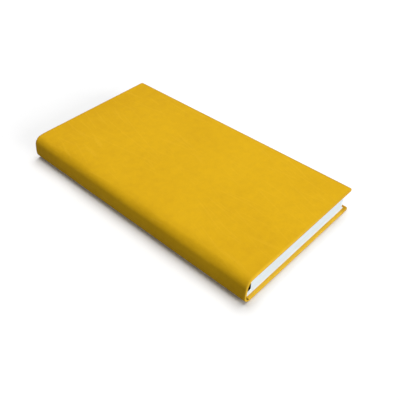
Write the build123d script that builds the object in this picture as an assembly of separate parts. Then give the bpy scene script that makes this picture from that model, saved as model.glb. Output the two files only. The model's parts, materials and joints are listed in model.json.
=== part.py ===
from build123d import *
from math import cos, degrees, radians, sin
import os

# A slim journal lying flat on its back cover. +X runs from the spine to the fore-edge, +Y from the tail to
# the head, +Z up. The origin is under the middle of the closed book, on the surface that it rests on. Sizes
# are in millimetres.

# The closed book
cover_height = 170.0
cover_width = 91.0
book_thickness = 15.0
back_cover_setback = 0.5

# The soft bends that join the covers to the spine, and how far the spine leans out towards the back cover
top_bend_radius = 5.0
bottom_bend_radius = 4.2
spine_lean = 4.0

# Materials, by thickness
leatherette = 0.4
board = 0.6
strip_card = 0.5
endpaper = 0.15
lining = 0.2

# The covers
turn_in = 12.0
joint_gap = 3.0
cover_corner_radius = 1.2
outer_rim_radius = 0.5
inner_rim_radius = 0.35
strip_wrap = 30.0
fold_slit = 0.05
mitre_slit = 0.15
pastedown_margin = 2.0
pastedown_setback = 0.3

# The pages
tail_square = 1.8
fore_square = 2.2
page_corner_radius = 2.5
page_skew = 1.0
shoulder_setback = 1.0
ledge_height = 3.3
ledge_fillet = 1.0
toe_radius = 0.65
heel_flat = 0.15
back_clearance = 0.1

# Levels inward from the outer surface of a cover, and from that of the spine
joint_level = 2 * leatherette
board_level = leatherette + board
rim_level = board_level + leatherette
paste_level = rim_level + endpaper
page_level = paste_level + endpaper
strip_level = leatherette + strip_card
wall_level = strip_level + leatherette

half_height = cover_height / 2
window_half = half_height - turn_in
page_half = half_height - tail_square
lean = radians(spine_lean)
spine_angle = 180 - spine_lean

# Centres of the two bends, in X and Z. The lower bend reaches furthest out, and the leaning back is tangent
# to both.
bottom_x = bottom_bend_radius - cover_width / 2
bottom_z = bottom_bend_radius
top_z = book_thickness - top_bend_radius
top_x = bottom_x + ((top_z - bottom_z) * sin(lean) + top_bend_radius - bottom_bend_radius) / cos(lean)

# Each cover turns about the line on its outer surface where the flat of the cover meets the bend.
front_width = cover_width / 2 - top_x
back_width = cover_width / 2 - back_cover_setback - bottom_x

# Section of the page block: its upper part stands clear of the spine, its lower part reaches the spine wall.
page_bottom = page_level
page_top = book_thickness - page_level
ledge_z = page_bottom + ledge_height
upper_back = top_x + shoulder_setback
wall_x = bottom_x - ((bottom_bend_radius - wall_level) - (ledge_z - bottom_z) * sin(lean)) / cos(lean)
lower_back = wall_x + lining + back_clearance
heel_radius = min(bottom_x - lower_back, ledge_height - toe_radius - heel_flat)
fore_edge_top = bottom_x + back_width - fore_square + page_skew / 2
fore_edge_bottom = fore_edge_top - page_skew


def spine_curve(level, top_start=90.0, bottom_end=270.0):
    """The spine's profile at a level inward from the outer surface: upper bend, flat back and lower bend."""
    upper = CenterArc((top_x, top_z), top_bend_radius - level, top_start, spine_angle - top_start)
    lower = CenterArc((bottom_x, bottom_z), bottom_bend_radius - level, spine_angle, bottom_end - spine_angle)
    return [upper, Line(upper @ 1, lower @ 0), lower]


def band(outer, inner, *limits):
    """Section of a layer that follows the spine, between two levels."""
    outside = spine_curve(outer, *limits)
    inside = spine_curve(inner, *limits)
    top_end = Line(outside[0] @ 0, inside[0] @ 0)
    bottom_end = Line(outside[-1] @ 1, inside[-1] @ 1)
    return make_face(outside + inside + [top_end, bottom_end])


def along_book(section, low, high):
    """A section in X and Z carried along Y from low to high."""
    return extrude(Plane.XZ.offset(-high) * section, high - low)


def block(x_range, y_range, z_range):
    """A rectangular solid given by its limits."""
    low, high = zip(x_range, y_range, z_range)
    size = [b - a for a, b in zip(low, high)]
    return Pos(*low) * Box(*size, align=(Align.MIN, Align.MIN, Align.MIN))


def round_upright(solid, radius, beyond):
    """Rounds the upright edges that lie past a given X."""
    edges = solid.edges().filter_by(Axis.Z).filter_by(lambda edge: edge.center().X > beyond)
    return fillet(edges, radius)


def round_rim(solid, end, radius):
    """Rounds the free edges of the lowest (0) or highest (-1) face of a cover's wrap."""
    face = solid.faces().sort_by(Axis.Z)[end]
    return fillet(face.edges().filter_by(lambda edge: edge.center().X > joint_gap), radius)


def make_board(width):
    """Cover board, with its outer corners rounded to sit inside the wrapped corners."""
    plain = block(
        (joint_gap, width - leatherette),
        (leatherette - half_height, half_height - leatherette),
        (leatherette, board_level),
    )
    return round_upright(plain, cover_corner_radius - leatherette, width / 2)


def make_wrap(width):
    """Leatherette of one cover, from its fold line outward: outer sheet, rounded rim and mitred turn-ins."""
    step = joint_gap - leatherette
    outline = Polyline(
        (fold_slit, 0),
        (width, 0),
        (width, rim_level),
        (step, rim_level),
        (step, joint_level),
        (fold_slit, joint_level),
        close=True,
    )
    wrap = along_book(make_face(outline), -half_height, half_height)
    wrap = round_upright(wrap, cover_corner_radius, width / 2)
    wrap = round_rim(wrap, 0, outer_rim_radius)
    wrap = round_rim(wrap, -1, inner_rim_radius)
    wrap -= make_board(width)
    wrap -= block((0, width - turn_in), (-window_half, window_half), (leatherette, page_level))
    slit_end = turn_in + mitre_slit
    slit = Box((slit_end - cover_corner_radius) * 2**0.5, mitre_slit, leatherette)
    middle = (slit_end + cover_corner_radius) / 2
    for side in (-1, 1):
        place = Pos(width - middle, side * (half_height - middle), board_level + leatherette / 2)
        wrap -= place * Rot(0, 0, side * 45) * slit
    return wrap


def make_pastedown(width):
    """Cover half of an endpaper: it lies on the turn-ins and sinks onto the board between them."""
    edge_y = half_height - pastedown_margin
    sheet = block(
        (pastedown_setback, width - pastedown_margin),
        (-edge_y, edge_y),
        (rim_level, paste_level),
    )
    well = block(
        (pastedown_setback, width - turn_in),
        (-window_half, window_half),
        (board_level, paste_level),
    )
    hollow = block(
        (0, width - turn_in - endpaper),
        (endpaper - window_half, window_half - endpaper),
        (board_level + endpaper, page_level),
    )
    return sheet + well - hollow


def place_back(solid):
    """Puts a piece built from its fold line outward into the back cover."""
    return Pos(bottom_x, 0, 0) * solid


def place_front(solid):
    """Turns the same build over, for the front cover."""
    return Pos(top_x, 0, book_thickness) * mirror(solid, Plane.XY)


def make_spine_strip():
    """Flexible card in the spine, curved with the start of each bend."""
    section = band(leatherette, strip_level, spine_angle - strip_wrap, spine_angle + strip_wrap)
    return along_book(section, leatherette - half_height, half_height - leatherette)


def make_spine_wrap(strip):
    """Leatherette round the spine: one outer layer, doubled over the ends of the strip at head and tail."""
    past_strip = strip_wrap + degrees(leatherette / (bottom_bend_radius - strip_level))
    over_strip = band(leatherette, wall_level, spine_angle - past_strip, spine_angle + past_strip)
    wrap = along_book(band(0, joint_level) + over_strip, -half_height, half_height)
    inside = band(leatherette, bottom_bend_radius - leatherette)
    wrap -= along_book(inside, -window_half, window_half)
    wrap -= strip
    for end, end_y in ((0, -half_height), (-1, half_height)):
        profile = Plane.XZ.offset(-end_y) * Wire(spine_curve(0))
        end_face = wrap.faces().filter_by(Axis.Y).sort_by(Axis.Y)[end]
        rim = end_face.edges().filter_by(lambda edge: profile.distance_to(edge @ 0.5) < leatherette / 2)
        wrap = fillet(rim, outer_rim_radius)
    return wrap


def make_page_section():
    """Section of the pages, with a rounded heel at the back cover and a fillet under the hollow."""
    corners = Polyline(
        (upper_back, page_top),
        (fore_edge_top, page_top),
        (fore_edge_bottom, page_bottom),
        (lower_back, page_bottom),
        (lower_back, ledge_z),
        (upper_back, ledge_z),
        close=True,
    )
    section = make_face(corners)
    rounded = (
        ((lower_back, page_bottom, 0), heel_radius),
        ((lower_back, ledge_z, 0), toe_radius),
        ((upper_back, ledge_z, 0), ledge_fillet),
    )
    for corner, radius in rounded:
        section = fillet(section.vertices().sort_by_distance(corner)[0], radius)
    return section


def make_pages(section):
    """All the pages as one solid, with rounded corners at the fore-edge."""
    pages = along_book(section, -page_half, page_half)
    fore_edge = pages.faces().sort_by(Axis.X)[-1]
    return fillet(fore_edge.edges().filter_by(Axis.Y, reverse=True), page_corner_radius)


def make_lining(section):
    """Strip glued over the back of the pages, following its profile down to the heel."""
    skin = offset(section, lining) - section
    outside = lower_back - 2 * lining
    below_ledge = ledge_z - ledge_fillet
    past_shoulder = upper_back + ledge_fillet
    keep = Polyline(
        (outside, page_bottom),
        (bottom_x, page_bottom),
        (bottom_x, below_ledge),
        (past_shoulder, below_ledge),
        (past_shoulder, page_top),
        (outside, page_top),
        close=True,
    )
    return along_book(skin & make_face(keep), -page_half, page_half)


def make_flyleaf(back_x, fore_x, low_z):
    """Free half of an endpaper, lying on the pages."""
    leaf = block((back_x, fore_x), (-page_half, page_half), (low_z, low_z + endpaper))
    return round_upright(leaf, page_corner_radius, 0)


spine_strip = make_spine_strip()
page_section = make_page_section()

pieces = {
    "leatherette_front": place_front(make_wrap(front_width)),
    "leatherette_spine": make_spine_wrap(spine_strip),
    "leatherette_back": place_back(make_wrap(back_width)),
    "front_board": place_front(make_board(front_width)),
    "back_board": place_back(make_board(back_width)),
    "spine_strip": spine_strip,
    "front_pastedown": place_front(make_pastedown(front_width)),
    "back_pastedown": place_back(make_pastedown(back_width)),
    "front_flyleaf": make_flyleaf(upper_back, fore_edge_top, page_top),
    "back_flyleaf": make_flyleaf(bottom_x, fore_edge_bottom, paste_level),
    "page_block": make_pages(page_section),
    "spine_lining": make_lining(page_section),
}

os.makedirs("parts", exist_ok=True)
for name, piece in pieces.items():
    export_step(piece, "parts/" + name + ".step")
    print(name, round(piece.volume, 1))
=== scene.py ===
import json
from collections import namedtuple
from math import asin, atan2, cos, pi, radians, sin, tan
from random import Random

import bmesh
import bpy
from bpy.props import FloatProperty, FloatVectorProperty, IntProperty, PointerProperty
from mathutils import Matrix, Vector, noise


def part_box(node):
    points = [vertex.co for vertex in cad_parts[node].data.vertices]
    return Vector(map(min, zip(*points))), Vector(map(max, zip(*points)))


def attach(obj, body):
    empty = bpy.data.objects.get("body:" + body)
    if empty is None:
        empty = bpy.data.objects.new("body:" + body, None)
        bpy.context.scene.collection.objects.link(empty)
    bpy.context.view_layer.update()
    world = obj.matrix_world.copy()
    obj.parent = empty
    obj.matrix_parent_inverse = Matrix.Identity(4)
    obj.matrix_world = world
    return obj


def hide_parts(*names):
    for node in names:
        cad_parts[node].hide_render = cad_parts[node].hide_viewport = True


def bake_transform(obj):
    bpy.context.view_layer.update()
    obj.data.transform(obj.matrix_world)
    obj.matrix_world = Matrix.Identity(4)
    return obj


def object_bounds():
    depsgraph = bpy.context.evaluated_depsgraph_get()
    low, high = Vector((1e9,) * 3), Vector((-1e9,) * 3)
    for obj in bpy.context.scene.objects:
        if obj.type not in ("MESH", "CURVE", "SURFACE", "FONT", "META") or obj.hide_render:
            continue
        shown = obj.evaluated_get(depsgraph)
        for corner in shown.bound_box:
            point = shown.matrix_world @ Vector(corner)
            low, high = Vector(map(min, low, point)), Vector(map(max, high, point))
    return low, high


bl_info = {
    "name": "Leatherette Journal",
    "version": (1, 0, 0),
    "blender": (4, 5, 0),
    "location": "View3D > Sidebar > Journal",
    "description": "Dresses a slim journal: leatherette case, endpapers, leaves and a white studio floor",
    "category": "Add Mesh",
}

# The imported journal: +X from the spine to the fore-edge, +Y from the tail to the head, +Z up, in metres.
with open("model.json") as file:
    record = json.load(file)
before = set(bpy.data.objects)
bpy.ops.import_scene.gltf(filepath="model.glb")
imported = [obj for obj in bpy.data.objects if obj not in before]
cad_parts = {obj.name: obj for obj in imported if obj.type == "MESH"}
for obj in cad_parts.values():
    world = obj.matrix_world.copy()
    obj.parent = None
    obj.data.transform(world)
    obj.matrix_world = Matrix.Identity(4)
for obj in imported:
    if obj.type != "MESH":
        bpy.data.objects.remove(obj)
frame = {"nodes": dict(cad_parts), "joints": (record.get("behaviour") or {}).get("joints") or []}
cad_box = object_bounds()

MM = 0.001
BLOCK = "book_block"
LEATHERETTE = "mustard_leatherette"
BOARD_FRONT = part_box("front_board")
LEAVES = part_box("page_block")
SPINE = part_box("leatherette_spine")
FRONT_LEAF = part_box("front_flyleaf")
BACK_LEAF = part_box("back_flyleaf")
THICKNESS = cad_box[1].z
HALF_HEIGHT = cad_box[1].y

# What each vertex carries for the finish: its place in the closed book, and its share of rim and of groove,
# which mask the painted highlight and shade on the rims and the painted shade in the groove
CLOSED_PLACE = "closed_place"
RIM = "rim"
GROOVE = "groove"

# How finely the meshes are divided, and the angle above which an edge stays sharp
ALONG_STEPS = 64
BEND_STEPS = 22
CORNER_STEPS = 8
OUTER_RIM_STEPS = 6
INNER_RIM_STEPS = 4
SHARP_EDGE = radians(35)

# Stations on a cover that keep their distance from the hinge line, in widths of the joint
NEAR_STATIONS = (2, 4, 7, 10, 14, 18)

# Between the turn-ins the pastedown steps down to the board. Where the step starts and ends, and where the
# fine stations over it do, all counted from the edge of the turn-ins.
STEP_START, STEP_END = 0.1 * MM, 0.9 * MM
FINE_START, FINE_END = -0.2 * MM, 1.0 * MM

# Unevenness, in cells of noise per metre: of the shoulder along the book, of the spine along and round it
SHOULDER_CELLS = 38
SPINE_CELLS = 42
SPINE_CELLS_ROUND = 150


def hinge_line(joint_name):
    """A point on the line that a cover turns about."""
    return next(Vector(joint["pos_m"]) for joint in frame["joints"] if joint["name"] == joint_name)


FRONT_HINGE = hinge_line("front_cover_hinge")
BACK_HINGE = hinge_line("back_cover_hinge")


def paint(red, green, blue):
    """A colour written as screen values from 0 to 255, in Blender's linear values."""
    linear = []
    for value in (red, green, blue):
        share = value / 255
        linear.append(share / 12.92 if share <= 0.04045 else ((share + 0.055) / 1.055) ** 2.4)
    return tuple(linear)


def length(name, description, default):
    """A size in metres."""
    return FloatProperty(
        name=name, description=description, default=default, min=0, precision=5, unit="LENGTH"
    )


def position(name, description, default):
    """A place in the scene, in metres."""
    return FloatVectorProperty(name=name, description=description, default=default, unit="LENGTH")


def turn(name, description, default):
    """An angle, its default given in degrees."""
    return FloatProperty(name=name, description=description, default=radians(default), subtype="ANGLE")


def factor(name, description, default):
    """A share from 0 to 1."""
    return FloatProperty(
        name=name, description=description, default=default, min=0, max=1, subtype="FACTOR"
    )


def brightness(name, description, default):
    """How bright a light is."""
    return FloatProperty(name=name, description=description, default=default, min=0)


def colour(name, description, *screen_values):
    """A colour, its default given as screen values."""
    return FloatVectorProperty(
        name=name,
        description=description,
        default=paint(*screen_values),
        size=3,
        min=0,
        max=1,
        subtype="COLOR",
    )


class JournalSizes(bpy.types.PropertyGroup):
    """Sizes of the case, the endpapers and the leaves."""

    leatherette: length("Leatherette", "Thickness of the covering", THICKNESS - BOARD_FRONT[1].z)
    board: length("Board", "Thickness of a cover board", BOARD_FRONT[1].z - BOARD_FRONT[0].z)
    strip_card: length("Strip card", "Thickness of the card in the spine", 0.5 * MM)
    strip_wrap: turn("Strip wrap", "How far the strip follows each bend, past the flat of the spine", 30)
    top_bend: length("Top bend", "Outer radius between the front cover and the spine", 5.0 * MM)
    turn_in: length("Turn-in", "Width of the covering folded round an edge", 12.0 * MM)
    joint_gap: length("Joint", "From a hinge line to its board", BOARD_FRONT[0].x - FRONT_HINGE.x)
    groove_level: length("Groove", "Thickness of the covering in the groove at the back cover", 1.1 * MM)
    hinge_bend: length("Hinge bend", "Length of covering that bends when a cover opens", 1.2 * MM)
    cover_corner: length("Cover corner", "Radius of a cover's corners seen from above", 1.2 * MM)
    outer_rim: length("Outer rim", "Radius of the rim on the outside of the case", 0.5 * MM)
    # The rims' painted highlight and shade begin at the rim margin.
    rim_margin: length("Rim margin", "Where the rims' own tone begins on the outside", 0.9 * MM)
    inner_rim: length("Inner rim", "Radius of the rim on the inside of the case", 0.35 * MM)
    shoulder_reach: length("Shoulder", "Width of the front cover's rounding towards the spine", 4.5 * MM)
    shoulder_slope: turn("Shoulder slope", "Slope of the front cover where it meets the spine", 16)
    shoulder_run: length("Shoulder run", "From head or tail to the shoulder's full slope", 26 * MM)
    shoulder_hollow: length("Shoulder hollow", "From the hinge line to the spine's deepest line", 3.8 * MM)
    shoulder_end: length("Shoulder end", "From the hinge line to the full spine", 12.5 * MM)
    spine_wave: length("Spine wave", "How far the spine swells and sinks along the book", 0.10 * MM)
    wave_run: length("Wave run", "From head or tail to the spine's full waves", 9 * MM)
    mitre_dip: length("Mitre", "Depth of the groove where two turn-ins meet at a corner", 0.15 * MM)
    endpaper: length("Endpaper", "Thickness of an endpaper", 0.13 * MM)
    pastedown_margin: length("Pastedown margin", "From a cover's edge to its pastedown", 2.0 * MM)
    page_corner: length("Page corner", "Radius of the leaves' corners at the fore-edge", 2.5 * MM)
    ledge_height: length("Ledge", "Height of the leaves that reach back to the spine", 3.3 * MM)
    ledge_fillet: length("Ledge fillet", "Radius under the hollow of the spine", 1.0 * MM)
    heel_radius: length("Heel", "Radius of the leaves' back at the back cover", 2.5 * MM)
    toe_radius: length("Toe", "Radius at the back of the ledge", 0.65 * MM)
    leaf_groups: IntProperty(
        name="Leaf groups", description="Groups of leaves that show on the edges", default=58, min=1
    )
    leaf_groove: length("Leaf groove", "Depth of the grooves between groups of leaves", 0.05 * MM)


class JournalColours(bpy.types.PropertyGroup):
    """Colours of the journal and of the floor."""

    leatherette_light: colour("Leatherette, light", "Lighter clouds of the covering", 226, 178, 20)
    # The deep tone also carries the painted shade towards the head.
    leatherette_deep: colour("Leatherette, deep", "Deeper clouds of the covering", 210, 161, 14)
    # Worn tone: wear in the scuffs, and painted highlight on the rims at the tail and on the back cover.
    # Edge tone: painted shade on the front cover's other rims.
    leatherette_wear_and_highlight: colour("Leatherette, worn", "Scuffs, and rims at tail and back cover", 252, 204, 62)
    leatherette_edge_shade: colour("Leatherette, edge", "Other rims of the front cover", 172, 120, 0)
    # Painted shade in the groove beside the back cover, under the leaves.
    groove_shade: colour("Backing", "Glued back of the covering, bare in the groove", 120, 84, 18)
    paper: colour("Leaves", "Cut edges of the leaves", 241, 250, 255)
    # Painted light: a whiter tone on the leaves next to the endpapers, lifting the shade under the covers.
    lit_outer_paper: colour("Outermost leaves", "Cut edges next to the endpapers", 250, 253, 255)
    endpaper: colour("Endpapers", "Endpapers", 236, 239, 240)
    board: colour("Boards", "Boards inside the covers", 150, 143, 130)
    # Painted shade: the strip card and the lining are darkened so that the hollow of the spine looks dark.
    strip: colour("Strip", "Card inside the spine", 92, 86, 78)
    lining: colour("Lining", "Cloth glued to the back of the leaves", 40, 38, 46)
    floor: colour("Floor", "Floor as the camera sees it", 255, 255, 255)


class JournalGrain(bpy.types.PropertyGroup):
    """Clouds, grain, scuffs and gloss of the materials."""

    cloud_size: length("Clouds", "Size of the covering's large clouds", 42 * MM)
    mottle_size: length("Mottle", "Size of the covering's fine clouds", 5 * MM)
    swell_size: length("Swells", "Size of the soft swells under the grain", 3.2 * MM)
    swell_depth: length("Swell depth", "Depth of the swells", 0.05 * MM)
    pebble_size: length("Pebbles", "Size of the pebbles in the grain", 0.55 * MM)
    pebble_depth: length("Pebble depth", "Depth of the grain", 0.025 * MM)
    scuff_width: length("Scuffs", "Width of the long scuffs", 1.4 * MM)
    scuff_stretch: FloatProperty(
        name="Scuff stretch", description="Length of a scuff in its own widths", default=20, min=1
    )
    scuff_strength: factor("Scuff strength", "How much of the worn tone a scuff has", 0.10)
    leatherette_gloss: factor("Leatherette gloss", "Specular level of the covering", 0.08)
    leaf_line: length("Leaf lines", "Thickness of the faint lines along the cut edges", 0.25 * MM)
    leaf_line_depth: length("Leaf line depth", "Depth of those lines", 0.02 * MM)
    tooth_size: length("Tooth", "Size of the tooth of paper, card and lining", 0.4 * MM)
    tooth_depth: length("Tooth depth", "Depth of the tooth", 0.01 * MM)
    paper_gloss: factor("Paper gloss", "Specular level of leaves, paper, card and lining", 0.2)


class JournalStage(bpy.types.PropertyGroup):
    """Camera, lights and floor."""

    lens: FloatProperty(name="Lens", description="Focal length", default=48.79, min=1, unit="CAMERA")
    camera_place: position("Camera", "Where the camera stands", (-0.17262, -0.17896, 0.20940))
    camera_aim: position("Aim", "What the camera points at", (-0.01138, -0.02418, 0.0075))
    camera_roll: turn("Roll", "Turn of the camera about its own axis", -0.955)
    key_strength: brightness("Key", "Strength of the soft light from above", 2.42)
    key_turn: turn("Key turn", "Compass turn of the key from +X", 25)
    key_height: turn("Key height", "Height of the key above the floor", 70.5)
    fill_strength: brightness("Fill", "Strength of the low light on the tail", 3.2)
    fill_turn: turn("Fill turn", "Compass turn of the fill from +X", -86)
    fill_height: turn("Fill height", "Height of the fill above the floor", 5)
    softness: turn("Softness", "Width of each light as the journal sees it", 50)
    sky: brightness("Sky", "Strength of the even light from all round", 0.185)
    floor_reach: length("Floor reach", "From the middle of the floor to its edges", 3.0)
    floor_bounce: factor("Floor bounce", "Share of light that the floor throws back", 0.3)


class Cover:
    """One cover in its own terms: distance out from its hinge line, place along the book, and depth."""

    def __init__(self, side, hinge, inward):
        self.side = side
        self.body = side + "_cover"
        self.hinge = hinge
        self.inward = inward
        self.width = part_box("leatherette_" + side)[1].x - hinge.x

    def point(self, out, along, depth):
        """The same place in the shared frame."""
        return Vector((self.hinge.x + out, along, self.hinge.z + self.inward * depth))


FRONT = Cover("front", FRONT_HINGE, -1)
BACK = Cover("back", BACK_HINGE, 1)


def smooth(value, low, high):
    """0 below low, 1 above high, and a smooth step between them."""
    share = min(max((value - low) / (high - low), 0.0), 1.0)
    return share * share * (3 - 2 * share)


def spread(low, high, steps):
    """Evenly spaced values, both ends included."""
    return [low + (high - low) * step / steps for step in range(steps + 1)]


def quarter(radius, steps):
    """A quarter round as distances from the two sides of its corner, from (radius, 0) to (0, radius)."""
    return [(radius * (1 - sin(a)), radius * (1 - cos(a))) for a in spread(0, pi / 2, steps)]


def cover_level(sizes):
    """Depth of the turn-in on a cover."""
    return sizes.board + 2 * sizes.leatherette


def rim_loop(sizes, level):
    """The turned-in edge as (offset from the edge, depth), from the outer face to the inner face."""
    skin = sizes.leatherette
    loop = [(sizes.rim_margin, 0)]
    loop += quarter(sizes.outer_rim, OUTER_RIM_STEPS)
    loop += [(offset, level - depth) for depth, offset in quarter(sizes.inner_rim, INNER_RIM_STEPS)]
    loop += [(share * sizes.turn_in, level) for share in (0.08, 0.16, 0.3, 0.6, 1)]
    loop += [(sizes.turn_in, level - skin), (skin, level - skin), (skin, skin)]
    return loop


def painted_rim_share(step):
    """Share of the rims' painted highlight and shade at a step of the rim loop, from 0 to 1: most where the
    turn-in begins.
    """
    on_rim = 0.6
    first_turn_in = OUTER_RIM_STEPS + INNER_RIM_STEPS + 3
    growing = on_rim + (1 - on_rim) * smooth(step, first_turn_in - 3, first_turn_in)
    return smooth(step, -1, 1) * (growing - smooth(step, first_turn_in, first_turn_in + 3))


def shoulder_slope(sizes, along):
    """Slope of the front cover at its hinge line: uneven along the book, and slight at its ends."""
    at_ends = 0.4
    uneven = 1 + 0.5 * noise.noise(Vector((along * SHOULDER_CELLS, 0.3, 0.7)))
    from_end = smooth(HALF_HEIGHT - abs(along), 0, sizes.shoulder_run)
    return tan(sizes.shoulder_slope) * uneven * (at_ends + (1 - at_ends) * from_end)


def shoulder_drop(cover, sizes, out, along, depth):
    """How far the front cover sinks as it rounds over towards the spine. Its turn-ins stay flat."""
    left = max(sizes.shoulder_reach - out, 0)
    if cover is BACK or left == 0:
        return 0
    sinking = 1 - smooth(depth, sizes.leatherette, cover_level(sizes))
    return sinking * shoulder_slope(sizes, along) * left * left / (2 * sizes.shoulder_reach)


def finish_piece(bm, name, material):
    """Makes the object: closed, smooth, with its real edges kept sharp.

    Each point keeps its place in the closed book, so that the finish stays put when a cover opens."""
    bmesh.ops.remove_doubles(bm, verts=bm.verts, dist=1e-7)
    bmesh.ops.recalc_face_normals(bm, faces=bm.faces)
    for face in bm.faces:
        face.smooth = True
    for edge in bm.edges:
        edge.smooth = edge.calc_face_angle(0) < SHARP_EDGE
    place = bm.verts.layers.float_vector.new(CLOSED_PLACE)
    for vertex in bm.verts:
        vertex[place] = vertex.co
    mesh = bpy.data.meshes.new(name)
    bm.to_mesh(mesh)
    bm.free()
    piece = bpy.data.objects.new(name, mesh)
    bpy.context.scene.collection.objects.link(piece)
    piece.data.materials.append(material)
    return piece


def bridge(bm, first, second, closed=True):
    """Quads between two rows of vertices, which run all round if they are closed."""
    for index in range(len(first) if closed else len(first) - 1):
        after = (index + 1) % len(first)
        bm.faces.new((first[index], first[after], second[after], second[index]))


def bridge_rows(bm, rows, closed=True):
    """Quads from each row of vertices to the next."""
    for row, after in zip(rows, rows[1:]):
        bridge(bm, row, after, closed)


def tube(bm, rows):
    """A closed body through closed rows, with a flat face at each end."""
    bridge_rows(bm, rows)
    bm.faces.new(rows[0])
    bm.faces.new(reversed(rows[-1]))


CoverPlan = namedtuple("CoverPlan", "side corner shares")


def plan_cover(sizes):
    """Stations on half a cover as (kind, value), and shares of the flat between the cover's corners."""
    gap = sizes.joint_gap
    near = spread(0, sizes.hinge_bend, 12) + spread(sizes.hinge_bend, 1.1 * gap, 10)[1:]
    near += [widths * gap for widths in NEAR_STATIONS]
    side = [("near", out) for out in near] + [("far", share) for share in (0.35, 0.7, 1.0)]
    corner = [("corner", angle) for angle in spread(0, pi / 2, CORNER_STEPS)[1:-1]]
    return CoverPlan(side, corner, spread(-1, 1, ALONG_STEPS))


def plan_point(cover, sizes, kind, value, offset):
    """Where a station meets the outline at an offset from the edge, on the head half of a cover."""
    tightest = 0.25 * MM
    radius = max(sizes.cover_corner - offset, tightest)
    end_out = cover.width - offset - radius
    end_along = HALF_HEIGHT - offset - radius
    if kind == "near":
        return value, HALF_HEIGHT - offset
    if kind == "far":
        last_near = NEAR_STATIONS[-1] * sizes.joint_gap
        return last_near + value * (end_out - last_near), HALF_HEIGHT - offset
    if kind == "corner":
        return end_out + radius * sin(value), end_along + radius * cos(value)
    return cover.width - offset, value * end_along


def mitre_depth(sizes, angle, offset, depth):
    """Depth of the groove between two turn-ins, at an angle in a cover's corner."""
    on_turn_in = offset > sizes.cover_corner and depth > cover_level(sizes) - sizes.leatherette / 2
    return sizes.mitre_dip * smooth(-abs(angle - pi / 4), -radians(12), 0) if on_turn_in else 0


def cover_vertex(bm, cover, sizes, out, along, depth):
    """A vertex of a cover's leatherette, sunk where the front cover rounds over."""
    return bm.verts.new(cover.point(out, along, depth + shoulder_drop(cover, sizes, out, along, depth)))


def fill_flat(bm, cover, sizes, plan, ring, offset, depth):
    """The flat inside a ring: columns from tail to head, matched to the fore-edge, and a fan in each corner.

    Returns the column on the hinge line."""
    end_along = HALF_HEIGHT - offset - max(sizes.cover_corner - offset, 0)
    columns = []
    for index, (kind, value) in enumerate(plan.side):
        out, _ = plan_point(cover, sizes, kind, value, offset)
        inner = [cover_vertex(bm, cover, sizes, out, share * end_along, depth) for share in plan.shares]
        columns.append([ring[-1 - index]] + inner + [ring[index]])
    bridge_rows(bm, columns, closed=False)
    last = columns[-1]
    fore_start = len(plan.side) + len(plan.corner)
    fore_end = fore_start + len(plan.shares)
    bridge(bm, last[1:-1], ring[fore_start:fore_end][::-1], closed=False)
    head_arc = ring[len(plan.side) - 1 : fore_start + 1]
    tail_arc = ring[fore_end - 1 : fore_end + len(plan.corner) + 1]
    for pivot, arc in ((last[-2], head_arc), (last[1], tail_arc)):
        for corner, after in zip(arc, arc[1:]):
            bm.faces.new((pivot, corner, after))
    return columns[0]


def wrap_cover(cover, sizes):
    """Mesh of the covering on one cover: outer face, rim, turn-ins with mitred corners, and inner face."""
    bm = bmesh.new()
    rim = bm.verts.layers.float.new(RIM)
    loop = rim_loop(sizes, cover_level(sizes))
    plan = plan_cover(sizes)
    head = [(kind, value, 1) for kind, value in plan.side + plan.corner]
    fore = [("fore", share, 1) for share in reversed(plan.shares)]
    tail = [(kind, value, -1) for kind, value, _ in reversed(head)]

    def ring_vertex(station, offset, depth):
        kind, value, half = station
        out, along = plan_point(cover, sizes, kind, value, offset)
        if kind == "corner":
            depth -= mitre_depth(sizes, value, offset, depth)
        return cover_vertex(bm, cover, sizes, out, half * along, depth)

    rings = [[ring_vertex(station, *level) for station in head + fore + tail] for level in loop]
    for step, ring in enumerate(rings):
        for vertex in ring:
            vertex[rim] = painted_rim_share(step)
    bridge_rows(bm, rings, closed=False)
    outer_edge = fill_flat(bm, cover, sizes, plan, rings[0], *loop[0])
    inner_edge = fill_flat(bm, cover, sizes, plan, rings[-1], *loop[-1])
    head_edge = [ring[0] for ring in rings]
    tail_edge = [ring[-1] for ring in rings]
    bm.faces.new(outer_edge[:-1] + head_edge[:-1] + inner_edge[:0:-1] + tail_edge[:0:-1])
    return bm


SpineLine = namedtuple("SpineLine", "spot normal level groove travel from_hinge carded")


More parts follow.
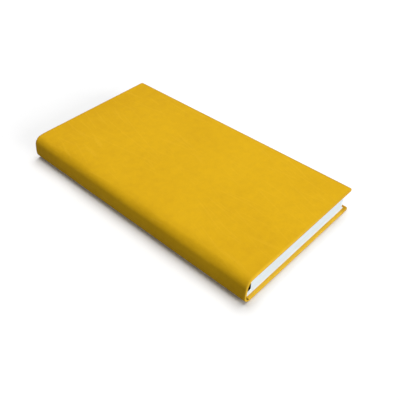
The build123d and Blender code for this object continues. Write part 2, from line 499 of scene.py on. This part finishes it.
def spine_lines(sizes):
    """Lines along the book that the spine is drawn through, from the front hinge line to the back one.

    Each has its place and outward direction in X and Z, the depth of the turn-in, how much of it is groove,
    the way travelled from the front hinge line, a share that grows away from both hinge lines, and whether
    card lies under it."""
    top_radius = sizes.top_bend
    low_radius = BACK_HINGE.x - SPINE[0].x
    top_centre = Vector((FRONT_HINGE.x, THICKNESS - top_radius))
    low_centre = Vector((BACK_HINGE.x, low_radius))
    apart = top_centre - low_centre
    lean = atan2(apart.x, apart.y) - asin((top_radius - low_radius) / apart.length)
    flat_angle = pi - lean
    fine = radians(0.4)
    top_angles = [pi / 2] + spread(pi / 2 + fine, flat_angle, BEND_STEPS)
    low_angles = spread(flat_angle, 3 * pi / 2 - fine, BEND_STEPS) + [3 * pi / 2]
    over_strip = sizes.leatherette * 2 + sizes.strip_card
    groove_start = flat_angle + sizes.strip_wrap
    groove_end = low_angles[-1]
    ramp = radians(12)

    def level_at(angle):
        """Over the strip, down into the groove beside the back cover, and up to the level of the covers."""
        at_covers = smooth(-angle, -flat_angle, -top_angles[0]) + smooth(angle, groove_start, groove_end)
        level = over_strip + (cover_level(sizes) - over_strip) * at_covers
        return level + (sizes.groove_level - level) * groove_at(angle)

    def groove_at(angle):
        groove = smooth(angle, groove_start, groove_start + ramp)
        return groove * (1 - smooth(angle, groove_end - 2 * ramp, groove_end - ramp))

    route = []
    bends = ((top_centre, top_radius, top_angles), (low_centre, low_radius, low_angles))
    for centre, radius, angles in bends:
        for angle in angles:
            normal = Vector((cos(angle), sin(angle)))
            carded = abs(angle - flat_angle) <= sizes.strip_wrap
            route.append((centre + radius * normal, normal, level_at(angle), groove_at(angle), carded))
    first_low = len(top_angles)
    above, normal, *rest = route[first_low - 1]
    below = route[first_low][0]
    flat = [(above.lerp(below, share), normal, *rest) for share in spread(0, 1, 5)[1:-1]]
    route = route[:first_low] + flat + route[first_low:]
    lines = []
    travel = 0
    for number, (spot, normal, level, groove, carded) in enumerate(route):
        travel += (spot - route[max(number - 1, 0)][0]).length
        from_hinge = min(8 * min(number, len(route) - 1 - number) / len(route), 1)
        lines.append(SpineLine(spot, normal, level, groove, travel, from_hinge, carded))
    return lines


def plain_sink(sizes, travel, along):
    """How far the spine's outer face lies inside its plain bend, at a distance from the front hinge line."""
    slope = shoulder_slope(sizes, along)
    start = slope * sizes.shoulder_reach / 2
    deepest = start + slope * sizes.shoulder_hollow / 2
    if travel < sizes.shoulder_hollow:
        return deepest - (deepest - start) * (1 - travel / sizes.shoulder_hollow) ** 2
    return deepest * (1 - smooth(travel, sizes.shoulder_hollow, sizes.shoulder_end))


def shoulder_sink(sizes, travel, along, depth):
    """The same at a depth in the spine: its turn-ins start out flat at the hinge line, like the cover's."""
    near_hinge = 1 - smooth(travel, 0, sizes.shoulder_hollow)
    sinking = 1 - smooth(depth, sizes.leatherette, cover_level(sizes)) * near_hinge
    return sinking * plain_sink(sizes, travel, along)


def spine_place(sizes, line, along, depth):
    """A place in the spine, at a depth from its outside, which swells and sinks a little along the book."""
    cell = Vector((along * SPINE_CELLS, line.spot.x * SPINE_CELLS_ROUND, line.spot.y * SPINE_CELLS_ROUND))
    swell = sizes.spine_wave * noise.noise(cell)
    swell *= line.from_hinge * smooth(HALF_HEIGHT - abs(along), 0, sizes.wave_run)
    place = line.spot + line.normal * (swell - shoulder_sink(sizes, line.travel, along, depth) - depth)
    return place.x, along, place.y


def wrap_spine(sizes):
    """Mesh of the covering round the spine, turned in at head and tail, with its faces a little uneven."""
    bm = bmesh.new()
    rim = bm.verts.layers.float.new(RIM)
    shade_share = bm.verts.layers.float.new(GROOVE)
    end = HALF_HEIGHT - sizes.cover_corner
    flat = spread(-end, end, ALONG_STEPS)

    def vertex_at(line, along, depth, share=0.0):
        vertex = bm.verts.new(spine_place(sizes, line, along, depth))
        vertex[rim] = share
        # The groove's share of the painted shade.
        vertex[shade_share] = line.groove * smooth(depth, 0.9 * sizes.groove_level, sizes.groove_level)
        return vertex

    rows = []
    for line in spine_lines(sizes):
        loop = [(*level, painted_rim_share(step)) for step, level in enumerate(rim_loop(sizes, line.level))]
        head = [vertex_at(line, HALF_HEIGHT - offset, depth, share) for offset, depth, share in loop]
        tail = [vertex_at(line, offset - HALF_HEIGHT, depth, share) for offset, depth, share in loop]
        outside = [vertex_at(line, along, 0) for along in flat]
        inside = [vertex_at(line, along, sizes.leatherette) for along in reversed(flat)]
        rows.append(tail[::-1] + outside + head + inside)
    tube(bm, rows)
    return bm


def make_strip(sizes, material):
    """The flexible card in the spine: it follows the covering, as far as its wrap round each bend."""
    bm = bmesh.new()
    end = HALF_HEIGHT - sizes.leatherette
    outer = sizes.leatherette
    inner = outer + sizes.strip_card
    places = spread(-end, end, ALONG_STEPS)
    around = [(along, outer) for along in places] + [(along, inner) for along in reversed(places)]
    rows = []
    for line in spine_lines(sizes):
        if line.carded:
            rows.append([bm.verts.new(spine_place(sizes, line, along, depth)) for along, depth in around])
    tube(bm, rows)
    piece = finish_piece(bm, "strip_card", material)
    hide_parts("spine_strip")
    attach(piece, BLOCK)


def endpaper_columns(cover, sizes, leaf):
    """Columns of an endpaper from the pastedown's fore-edge, round the fold, to the flyleaf's fore-edge.

    Each column is (distance out, depth, direction of the paper's face, half its height). The distance out to
    the fold comes with them."""
    half_paper = sizes.endpaper / 2
    gap = sizes.joint_gap
    both_halves = (leaf[1].z - leaf[0].z) * 2
    cover_side = cover_level(sizes) + half_paper
    leaf_side = cover_level(sizes) + both_halves - half_paper
    fold_out = leaf[0].x - cover.hinge.x + 0.3 * MM
    middle = (cover_side + leaf_side) / 2
    radius = (leaf_side - cover_side) / 2
    paste_half = HALF_HEIGHT - sizes.pastedown_margin
    leaf_half = leaf[1].y
    leaf_end = leaf[1].x - cover.hinge.x
    window_end = cover.width - sizes.turn_in
    pasted = [cover.width - sizes.pastedown_margin, window_end + 4 * MM]
    pasted += spread(window_end - FINE_START, window_end - FINE_END, 8)
    pasted += spread(window_end - 6 * MM, 2 * gap, 12)
    pasted += spread(1.2 * gap, fold_out, 8)
    columns = [(out, cover_side, (0, -1), paste_half) for out in pasted]
    crease = radians(7.6)
    angles = spread(0, pi / 2 - crease, 4)[1:] + spread(pi / 2 - crease, pi / 2 + crease, 16)[1:]
    angles += spread(pi / 2 + crease, pi, 4)[1:-1]
    for angle in angles:
        face = (-sin(angle), -cos(angle))
        columns.append((fold_out - radius * sin(angle), middle - radius * cos(angle), face, leaf_half))
    free = [(out, 0) for out in spread(fold_out, leaf_end - sizes.page_corner, 14)]
    free += [(leaf_end - left, cut) for left, cut in quarter(sizes.page_corner, CORNER_STEPS)[1:]]
    columns += [(out, leaf_side, (0, 1), leaf_half - cut) for out, cut in free]
    return columns, fold_out


def endpaper_shares(sizes):
    """Places along an endpaper as shares of half its height, close together at the pastedown's step."""
    window = HALF_HEIGHT - sizes.turn_in
    half_pastedown = HALF_HEIGHT - sizes.pastedown_margin
    start = (window - FINE_START) / half_pastedown
    end = (window - FINE_END) / half_pastedown
    tail_part = spread(-1, -start, 4)[:-1] + spread(-start, -end, 8)
    return tail_part + spread(-end, end, 22)[1:-1] + [-share for share in reversed(tail_part)]


def window_sink(cover, sizes, out, along, fold_out):
    """How far a pastedown sinks from the level of the turn-ins towards the board between them."""
    past_joint = smooth(out, fold_out + 0.2 * MM, 0.8 * sizes.joint_gap)
    from_fore = smooth(cover.width - sizes.turn_in - out, STEP_START, STEP_END)
    from_ends = smooth(HALF_HEIGHT - sizes.turn_in - abs(along), STEP_START, STEP_END)
    return sizes.leatherette * past_joint * from_ends * from_fore


def make_endpaper(cover, sizes, leaf, material):
    """One folded sheet: glued over the turn-ins and the board on the cover, free on the leaves."""
    bm = bmesh.new()
    columns, fold_out = endpaper_columns(cover, sizes, leaf)
    outer, inner = [], []
    for out, depth, (sideways, inward), half in columns:
        on_cover = inward < 0 and sideways == 0
        lines = ([], [])
        for share in endpaper_shares(sizes):
            along = share * half
            level = depth - window_sink(cover, sizes, out, along, fold_out) if on_cover else depth
            for line, side in zip(lines, (1, -1)):
                shift = side * sizes.endpaper / 2
                spot = cover.point(out + sideways * shift, along, level + inward * shift)
                line.append(bm.verts.new(spot))
        outer.append(lines[0])
        inner.append(lines[1])
    bridge_rows(bm, outer, closed=False)
    bridge_rows(bm, inner, closed=False)
    edges = [(outer[end], inner[end]) for end in (0, -1)]
    edges += [([line[end] for line in outer], [line[end] for line in inner]) for end in (0, -1)]
    for edge_out, edge_in in edges:
        bridge(bm, edge_out, edge_in, closed=False)
    piece = finish_piece(bm, cover.side + "_endpaper", material)
    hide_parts(cover.side + "_pastedown", cover.side + "_flyleaf")
    cover_side, leaf_side = columns[0][1], columns[-1][1]
    middle = (cover_side + leaf_side) / 2
    hairline = abs(cover_side - leaf_side) / 2 - sizes.endpaper / 2
    cover.point(fold_out, 0, middle + hairline)
    cover.point(fold_out, 0, middle - hairline)
    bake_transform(piece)


def leaves_back(sizes):
    """Back of the leaves as (x, z) from the back cover up: heel, toe, ledge and the hollow's wall."""
    low_x = LEAVES[0].x
    low_z = LEAVES[0].z
    wall_x = FRONT_LEAF[0].x
    ledge_z = low_z + sizes.ledge_height
    back = [(low_x + across, low_z + up) for across, up in quarter(sizes.heel_radius, 8)]
    back += [(low_x + across, ledge_z - down) for down, across in quarter(sizes.toe_radius, 5)]
    back += [(wall_x - across, ledge_z + up) for across, up in quarter(sizes.ledge_fillet, 6)]
    return back + [(wall_x, LEAVES[1].z)]


def leaf_rings(sizes):
    """Levels of the leaves' mesh as (z, back x, groove): the back's points, and three a leaf group."""
    back = leaves_back(sizes)
    levels = [(z, x, 0) for x, z in back]
    group = (LEAVES[1].z - LEAVES[0].z) / sizes.leaf_groups
    lip = 0.2 * group
    uneven = Random(11)

    def back_at(z):
        for (x_low, z_low), (x_high, z_high) in zip(back, back[1:]):
            if z_low <= z <= z_high and z_high > z_low:
                return x_low + (x_high - x_low) * (z - z_low) / (z_high - z_low)
        return back[-1][0]

    for number in range(1, sizes.leaf_groups):
        seam = LEAVES[0].z + number * group
        groove = sizes.leaf_groove * uneven.uniform(0.5, 1.0)
        for z, depth in ((seam - lip, 0), (seam, groove), (seam + lip, 0)):
            levels.append((z, back_at(z), depth))
    return sorted(levels, key=lambda level: level[0])


def make_leaves(sizes, material):
    """All the leaves as one block, with the grooves between groups of leaves on its three cut edges."""
    bm = bmesh.new()
    low_fore = BACK_LEAF[1].x
    high_fore = FRONT_LEAF[1].x

    def outline(z, back_x, groove):
        rise = (z - LEAVES[0].z) / (LEAVES[1].z - LEAVES[0].z)
        fore = low_fore + (high_fore - low_fore) * rise - groove
        radius = sizes.page_corner - groove
        edge = LEAVES[1].y - groove
        corner = quarter(radius, CORNER_STEPS)[1:]
        spots = [(x, -edge) for x in spread(back_x, fore - radius, 8)]
        spots += [(fore - left, cut - edge) for left, cut in corner]
        spots += [(fore, y) for y in spread(radius - edge, edge - radius, 10)[1:]]
        spots += [(fore - cut, edge - left) for left, cut in corner]
        spots += [(x, edge) for x in spread(fore - radius, back_x, 8)[1:]]
        return [bm.verts.new((x, y, z)) for x, y in spots]

    tube(bm, [outline(*level) for level in leaf_rings(sizes)])
    piece = finish_piece(bm, "leaves", material)
    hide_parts("page_block")
    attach(piece, BLOCK)


class Surface:
    """A material with short names for adding its nodes."""

    # The Mix node's sockets for colours, which have the same names as those for numbers
    MIX_FIRST, MIX_SECOND, MIX_RESULT = 6, 7, 2

    def __init__(self, name, packed=False):
        self.material = bpy.data.materials.new(name)
        self.material.use_nodes = True
        self.tree = self.material.node_tree
        self.shader = self.tree.nodes["Principled BSDF"]
        if packed:
            self.place = self.add("ShaderNodeTexCoord").outputs["Object"]
        else:
            self.place = self.add("ShaderNodeAttribute", attribute_name=CLOSED_PLACE).outputs["Vector"]

    def add(self, kind, fed=None, **settings):
        """A new node with its settings, and its inputs fed by name or number from a socket or a value."""
        node = self.tree.nodes.new(kind)
        for name, value in settings.items():
            setattr(node, name, value)
        for name, value in (fed or {}).items():
            self.feed(value, node.inputs[name])
        return node

    def feed(self, value, target):
        """Links an input to another socket, or sets it to a value."""
        if isinstance(value, bpy.types.NodeSocket):
            self.tree.links.new(value, target)
        else:
            target.default_value = value

    def carried(self, name):
        """A share that the mesh carries."""
        return self.add("ShaderNodeAttribute", attribute_name=name).outputs["Fac"]

    def axes(self):
        """X, Y and Z of the place."""
        return tuple(self.add("ShaderNodeSeparateXYZ", {"Vector": self.place}).outputs)

    def noise(self, size, detail=3.0, roughness=0.5, place=None):
        """Soft noise whose features are about size across."""
        fed = {"Scale": 1 / size, "Detail": detail, "Roughness": roughness, "Vector": place or self.place}
        return self.add("ShaderNodeTexNoise", fed).outputs["Fac"]

    def cells(self, size):
        """Pebbled cells about size across, as the distance from each cell's middle."""
        fed = {"Scale": 1 / size, "Vector": self.place}
        return self.add("ShaderNodeTexVoronoi", fed, feature="SMOOTH_F1").outputs["Distance"]

    def drawn_out(self, stretch, angle=0.0):
        """Places drawn out in X, Y and Z, in directions turned about Z."""
        fed = {"Scale": stretch, "Rotation": (0, 0, angle), "Vector": self.place}
        return self.add("ShaderNodeMapping", fed, vector_type="TEXTURE").outputs["Vector"]

    def ramp(self, value, low, high, bottom=0.0, top=1.0):
        """Maps low to bottom and high to top, clamped. Each may be a number or a socket."""
        fed = {"Value": value, "From Min": low, "From Max": high, "To Min": bottom, "To Max": top}
        return self.add("ShaderNodeMapRange", fed).outputs["Result"]

    def work(self, operation, first, second=0.0):
        """One sum on two values, each a number or a socket."""
        return self.add("ShaderNodeMath", {0: first, 1: second}, operation=operation).outputs["Value"]

    def mix(self, share, first, second):
        """Mixes two colours, each a colour or a socket."""
        first, second = (
            tone if isinstance(tone, bpy.types.NodeSocket) else (*tone, 1) for tone in (first, second)
        )
        fed = {"Factor": share, self.MIX_FIRST: first, self.MIX_SECOND: second}
        return self.add("ShaderNodeMix", fed, data_type="RGBA").outputs[self.MIX_RESULT]

    def bump(self, height, distance, below=None):
        """Raises the surface by a height from 0 to 1, over a distance."""
        fed = {"Height": height, "Distance": distance}
        if below is not None:
            fed["Normal"] = below
        return self.add("ShaderNodeBump", fed).outputs["Normal"]

    def finished(self, tone, relief, roughness, gloss):
        """The material, with its colour, relief, roughness and specular level."""
        self.feed(tone, self.shader.inputs["Base Color"])
        self.feed(roughness, self.shader.inputs["Roughness"])
        self.shader.inputs["Specular IOR Level"].default_value = gloss
        if relief is not None:
            self.feed(relief, self.shader.inputs["Normal"])
        return self.material


def darker(tint, share):
    """A colour with a share of its light taken away."""
    return tuple((1 - share) * value for value in tint)


def clouds_and_head_shade(surface, colours, grain, mottle, y):
    """The covering's tone: large clouds and a fine mottle, and painted shade that deepens it towards the
    head.
    """
    clouds = surface.ramp(surface.noise(grain.cloud_size, detail=2.0), 0.32, 0.68, top=0.35)
    light = surface.work("ADD", clouds, surface.ramp(mottle, 0.3, 0.7, bottom=0.15, top=0.65))
    # Painted shade: the tone deepens towards the head.
    light = surface.work("SUBTRACT", light, surface.ramp(y, 0, HALF_HEIGHT, top=0.45))
    return surface.mix(light, colours.leatherette_deep, colours.leatherette_light)


def scuffed_tone(surface, colours, grain, base):
    """Long faint scuffs over the base, which run in three directions, all nearly along the book."""
    scuffs = 0.0
    for degrees in (82, 97, 72):
        drawn_out = surface.drawn_out((grain.scuff_stretch, 1, 1), radians(degrees))
        streaks = surface.noise(grain.scuff_width, 1.0, 0.4, drawn_out)
        scuffs = surface.work("MAXIMUM", scuffs, surface.ramp(streaks, 0.66, 0.74))
    strength = surface.work("MULTIPLY", scuffs, grain.scuff_strength)
    return surface.mix(strength, base, colours.leatherette_wear_and_highlight)


def rim_highlight_and_shade(surface, colours, x, y, z):
    """The rims' painted highlight and shade: painted highlight on the back cover and at the tail, most
    beside the spine, and painted shade on the other rims.
    """
    fore = BOARD_FRONT[1].x
    near_spine = surface.ramp(x, SPINE[0].x, fore, bottom=0.9, top=0.35)
    at_tail = surface.ramp(y, -HALF_HEIGHT, 5 * MM - HALF_HEIGHT, bottom=near_spine, top=0.0)
    off_fore = surface.ramp(x, fore - 8 * MM, fore - 1 * MM, bottom=1.0, top=0.0)
    on_back = surface.ramp(z, 2 * MM, 4 * MM, bottom=off_fore, top=0.0)
    painted_highlight = surface.work("MAXIMUM", at_tail, on_back)
    return surface.mix(painted_highlight, colours.leatherette_edge_shade, colours.leatherette_wear_and_highlight)


def leatherette_surface(colours, grain):
    """Matte mustard leatherette: clouds, pebbled grain, faint long scuffs, painted highlight and shade on
    the rims, and painted shade in the groove and towards the head.
    """
    surface = Surface(LEATHERETTE)
    x, y, z = surface.axes()
    mottle = surface.noise(grain.mottle_size, 4.0, 0.75)
    tone = scuffed_tone(surface, colours, grain, clouds_and_head_shade(surface, colours, grain, mottle, y))
    # Painted highlight and shade on the rims.
    tone = surface.mix(surface.carried(RIM), tone, rim_highlight_and_shade(surface, colours, x, y, z))
    # Painted shade in the groove.
    tone = surface.mix(surface.carried(GROOVE), tone, colours.groove_shade)
    swells = surface.bump(surface.noise(grain.swell_size), grain.swell_depth)
    pebbles = surface.bump(surface.cells(grain.pebble_size), grain.pebble_depth, swells)
    roughness = surface.ramp(mottle, 0.25, 0.75, bottom=0.68, top=0.78)
    return surface.finished(tone, pebbles, roughness, grain.leatherette_gloss)


def leaves_surface(colours, grain):
    """Cut edges of the leaves: white, with faint lines along each leaf, and painted light that makes the
    outermost sheets whiter.
    """
    surface = Surface("cut_leaves")
    lines = surface.noise(grain.leaf_line, 2.0, 0.6, surface.drawn_out((50, 50, 1)))
    tone = surface.mix(surface.ramp(lines, 0.3, 0.6), darker(colours.paper, 0.1), colours.paper)
    _, _, z = surface.axes()
    middle = (LEAVES[0].z + LEAVES[1].z) / 2
    half = (LEAVES[1].z - LEAVES[0].z) / 2
    from_middle = surface.work("ABSOLUTE", surface.work("SUBTRACT", z, middle))
    # Painted light on the outermost leaves.
    outermost = surface.ramp(from_middle, half - 0.75 * MM, half - 0.6 * MM)
    tone = surface.mix(outermost, tone, colours.lit_outer_paper)
    return surface.finished(tone, surface.bump(lines, grain.leaf_line_depth), 0.85, grain.paper_gloss)


def sheet_surface(name, tint, grain, fleck_size, fleck_depth, packed):
    """Uncoated paper, card or cloth: a slight tooth, and darker flecks in its tone."""
    surface = Surface(name, packed)
    flecks = surface.ramp(surface.noise(fleck_size, 4.0, 0.6), 0.3, 0.7)
    tooth = surface.bump(surface.noise(grain.tooth_size), grain.tooth_depth)
    tone = surface.mix(flecks, darker(tint, fleck_depth), tint)
    return surface.finished(tone, tooth, 0.88, grain.paper_gloss)


def dress_node(node, material):
    """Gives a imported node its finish."""
    piece = frame["nodes"][node]
    piece.data.materials.clear()
    piece.data.materials.append(material)


def shared_leatherette(scene):
    """The one leatherette that covers the whole case."""
    made = bpy.data.materials.get(LEATHERETTE)
    return made or leatherette_surface(scene.journal_colours, scene.journal_grain)


class JOURNAL_OT_covers(bpy.types.Operator):
    """Wrap the front and back boards in leatherette"""

    bl_idname = "journal.covers"
    bl_label = "Covers"

    def execute(self, context):
        sizes = context.scene.journal_sizes
        material = shared_leatherette(context.scene)
        for cover in (FRONT, BACK):
            node = "leatherette_" + cover.side
            piece = finish_piece(wrap_cover(cover, sizes), node + "_wrap", material)
            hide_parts(node)
            cover.point(0, 0, 0)
            cover.point(sizes.hinge_bend, 0, 0)
            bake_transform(piece)
        return {"FINISHED"}


class JOURNAL_OT_spine(bpy.types.Operator):
    """Carry the leatherette round the spine, turned in at head and tail"""

    bl_idname = "journal.spine"
    bl_label = "Spine"

    def execute(self, context):
        bm = wrap_spine(context.scene.journal_sizes)
        material = shared_leatherette(context.scene)
        piece = finish_piece(bm, "leatherette_spine_wrap", material)
        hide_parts("leatherette_spine")
        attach(piece, BLOCK)
        return {"FINISHED"}


class JOURNAL_OT_cards(bpy.types.Operator):
    """Lay the card strip in the spine, and finish the boards and the lining, which stay as packed"""

    bl_idname = "journal.cards"
    bl_label = "Boards and lining"

    def execute(self, context):
        colours = context.scene.journal_colours
        grain = context.scene.journal_grain
        board = sheet_surface("grey_board", colours.board, grain, 1.5 * MM, 0.25, packed=True)
        # Painted shade: the strip card and the lining are dark for the hollow of the spine.
        strip = sheet_surface("strip_card", colours.strip, grain, 1.5 * MM, 0.2, packed=False)
        lining = sheet_surface("lining_cloth", colours.lining, grain, 0.8 * MM, 0.4, packed=True)
        dress_node("front_board", board)
        dress_node("back_board", board)
        make_strip(context.scene.journal_sizes, strip)
        dress_node("spine_lining", lining)
        return {"FINISHED"}


class JOURNAL_OT_endpapers(bpy.types.Operator):
    """Fold the two endpapers between the covers and the leaves"""

    bl_idname = "journal.endpapers"
    bl_label = "Endpapers"

    def execute(self, context):
        scene = context.scene
        tint = scene.journal_colours.endpaper
        paper = sheet_surface("white_endpaper", tint, scene.journal_grain, 6 * MM, 0.02, packed=False)
        make_endpaper(FRONT, scene.journal_sizes, FRONT_LEAF, paper)
        make_endpaper(BACK, scene.journal_sizes, BACK_LEAF, paper)
        return {"FINISHED"}


class JOURNAL_OT_leaves(bpy.types.Operator):
    """Stack the leaves, stepped back behind the hollow of the spine"""

    bl_idname = "journal.leaves"
    bl_label = "Leaves"

    def execute(self, context):
        scene = context.scene
        make_leaves(scene.journal_sizes, leaves_surface(scene.journal_colours, scene.journal_grain))
        return {"FINISHED"}


def seen_rays(tree):
    """1 for the camera's rays and for what gloss or glass shows, and 0 for light on the journal."""
    rays = tree.nodes.new("ShaderNodeLightPath")
    total = rays.outputs["Is Camera Ray"]
    for name in ("Is Glossy Ray", "Is Transmission Ray"):
        either = tree.nodes.new("ShaderNodeMath")
        either.operation = "MAXIMUM"
        tree.links.new(total, either.inputs[0])
        tree.links.new(rays.outputs[name], either.inputs[1])
        total = either.outputs[0]
    return total


def make_floor(stage, colours):
    """A plain white floor that keeps the journal's shadow."""
    reach = stage.floor_reach
    corners = ((-reach, -reach), (reach, -reach), (reach, reach), (-reach, reach))
    bm = bmesh.new()
    bm.faces.new([bm.verts.new((x, y, 0)) for x, y in corners])
    mesh = bpy.data.meshes.new("floor")
    bm.to_mesh(mesh)
    bm.free()
    floor = bpy.data.objects.new("floor", mesh)
    bpy.context.scene.collection.objects.link(floor)
    surface = Surface("studio_floor", packed=True)
    bounce = (stage.floor_bounce,) * 3
    tint = surface.mix(seen_rays(surface.tree), bounce, colours.floor)
    floor.data.materials.append(surface.finished(tint, None, 1.0, 0.0))


def make_sky(strength):
    """Even light from all round, behind a white backdrop."""
    world = bpy.data.worlds.new("studio")
    world.use_nodes = True
    tree = world.node_tree
    back = tree.nodes["Background"]
    back.inputs["Color"].default_value = (1, 1, 1, 1)
    level = tree.nodes.new("ShaderNodeMapRange")
    level.inputs["To Min"].default_value = strength
    level.inputs["To Max"].default_value = 1.0
    tree.links.new(seen_rays(tree), level.inputs["Value"])
    tree.links.new(level.outputs["Result"], back.inputs["Strength"])
    bpy.context.scene.world = world


def make_lamp(name, strength, compass, height, softness):
    """One large soft light, far away."""
    lamp = bpy.data.lights.new(name, "SUN")
    lamp.energy = strength
    lamp.angle = softness
    holder = bpy.data.objects.new(name, lamp)
    bpy.context.scene.collection.objects.link(holder)
    towards = Vector((cos(height) * cos(compass), cos(height) * sin(compass), sin(height)))
    holder.rotation_mode = "QUATERNION"
    holder.rotation_quaternion = towards.to_track_quat("Z", "Y")


def make_camera(stage):
    """The camera at the photograph's viewing angle."""
    camera = bpy.data.objects.new("camera", bpy.data.cameras.new("camera"))
    bpy.context.scene.collection.objects.link(camera)
    camera.data.lens = stage.lens
    place = Vector(stage.camera_place)
    look = Vector(stage.camera_aim) - place
    facing = look.to_track_quat("-Z", "Y").to_matrix().to_4x4()
    camera.matrix_world = Matrix.Translation(place) @ facing @ Matrix.Rotation(stage.camera_roll, 4, "Z")
    bpy.context.scene.camera = camera


class JOURNAL_OT_stage(bpy.types.Operator):
    """Set the white floor, the soft light and the camera"""

    bl_idname = "journal.stage"
    bl_label = "Stage"

    def execute(self, context):
        stage = context.scene.journal_stage
        context.scene.view_settings.view_transform = "Standard"
        make_floor(stage, context.scene.journal_colours)
        make_sky(stage.sky)
        make_lamp("key", stage.key_strength, stage.key_turn, stage.key_height, stage.softness)
        make_lamp("fill", stage.fill_strength, stage.fill_turn, stage.fill_height, stage.softness)
        make_camera(stage)
        return {"FINISHED"}


OPERATORS = (
    JOURNAL_OT_covers,
    JOURNAL_OT_spine,
    JOURNAL_OT_cards,
    JOURNAL_OT_endpapers,
    JOURNAL_OT_leaves,
    JOURNAL_OT_stage,
)

GROUPS = {
    "journal_sizes": JournalSizes,
    "journal_colours": JournalColours,
    "journal_grain": JournalGrain,
    "journal_stage": JournalStage,
}


class JOURNAL_PT_panel(bpy.types.Panel):
    """The journal's operators, sizes and colours"""

    bl_idname = "JOURNAL_PT_panel"
    bl_label = "Journal"
    bl_space_type = "VIEW_3D"
    bl_region_type = "UI"
    bl_category = "Journal"

    def draw(self, context):
        for operator in OPERATORS:
            self.layout.operator(operator.bl_idname)
        for group_name in GROUPS:
            group = getattr(context.scene, group_name)
            box = self.layout.box()
            for name in group.bl_rna.properties.keys():
                if name not in ("rna_type", "name"):
                    box.prop(group, name)


def register():
    for owner in (*GROUPS.values(), *OPERATORS, JOURNAL_PT_panel):
        bpy.utils.register_class(owner)
    for name, group in GROUPS.items():
        setattr(bpy.types.Scene, name, PointerProperty(type=group))


def unregister():
    for name in GROUPS:
        delattr(bpy.types.Scene, name)
    for owner in reversed((*GROUPS.values(), *OPERATORS, JOURNAL_PT_panel)):
        bpy.utils.unregister_class(owner)


def main():
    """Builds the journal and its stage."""
    register()
    bpy.ops.journal.covers()
    bpy.ops.journal.spine()
    bpy.ops.journal.cards()
    bpy.ops.journal.endpapers()
    bpy.ops.journal.leaves()
    bpy.ops.journal.stage()


if __name__ == "__main__":
    main()
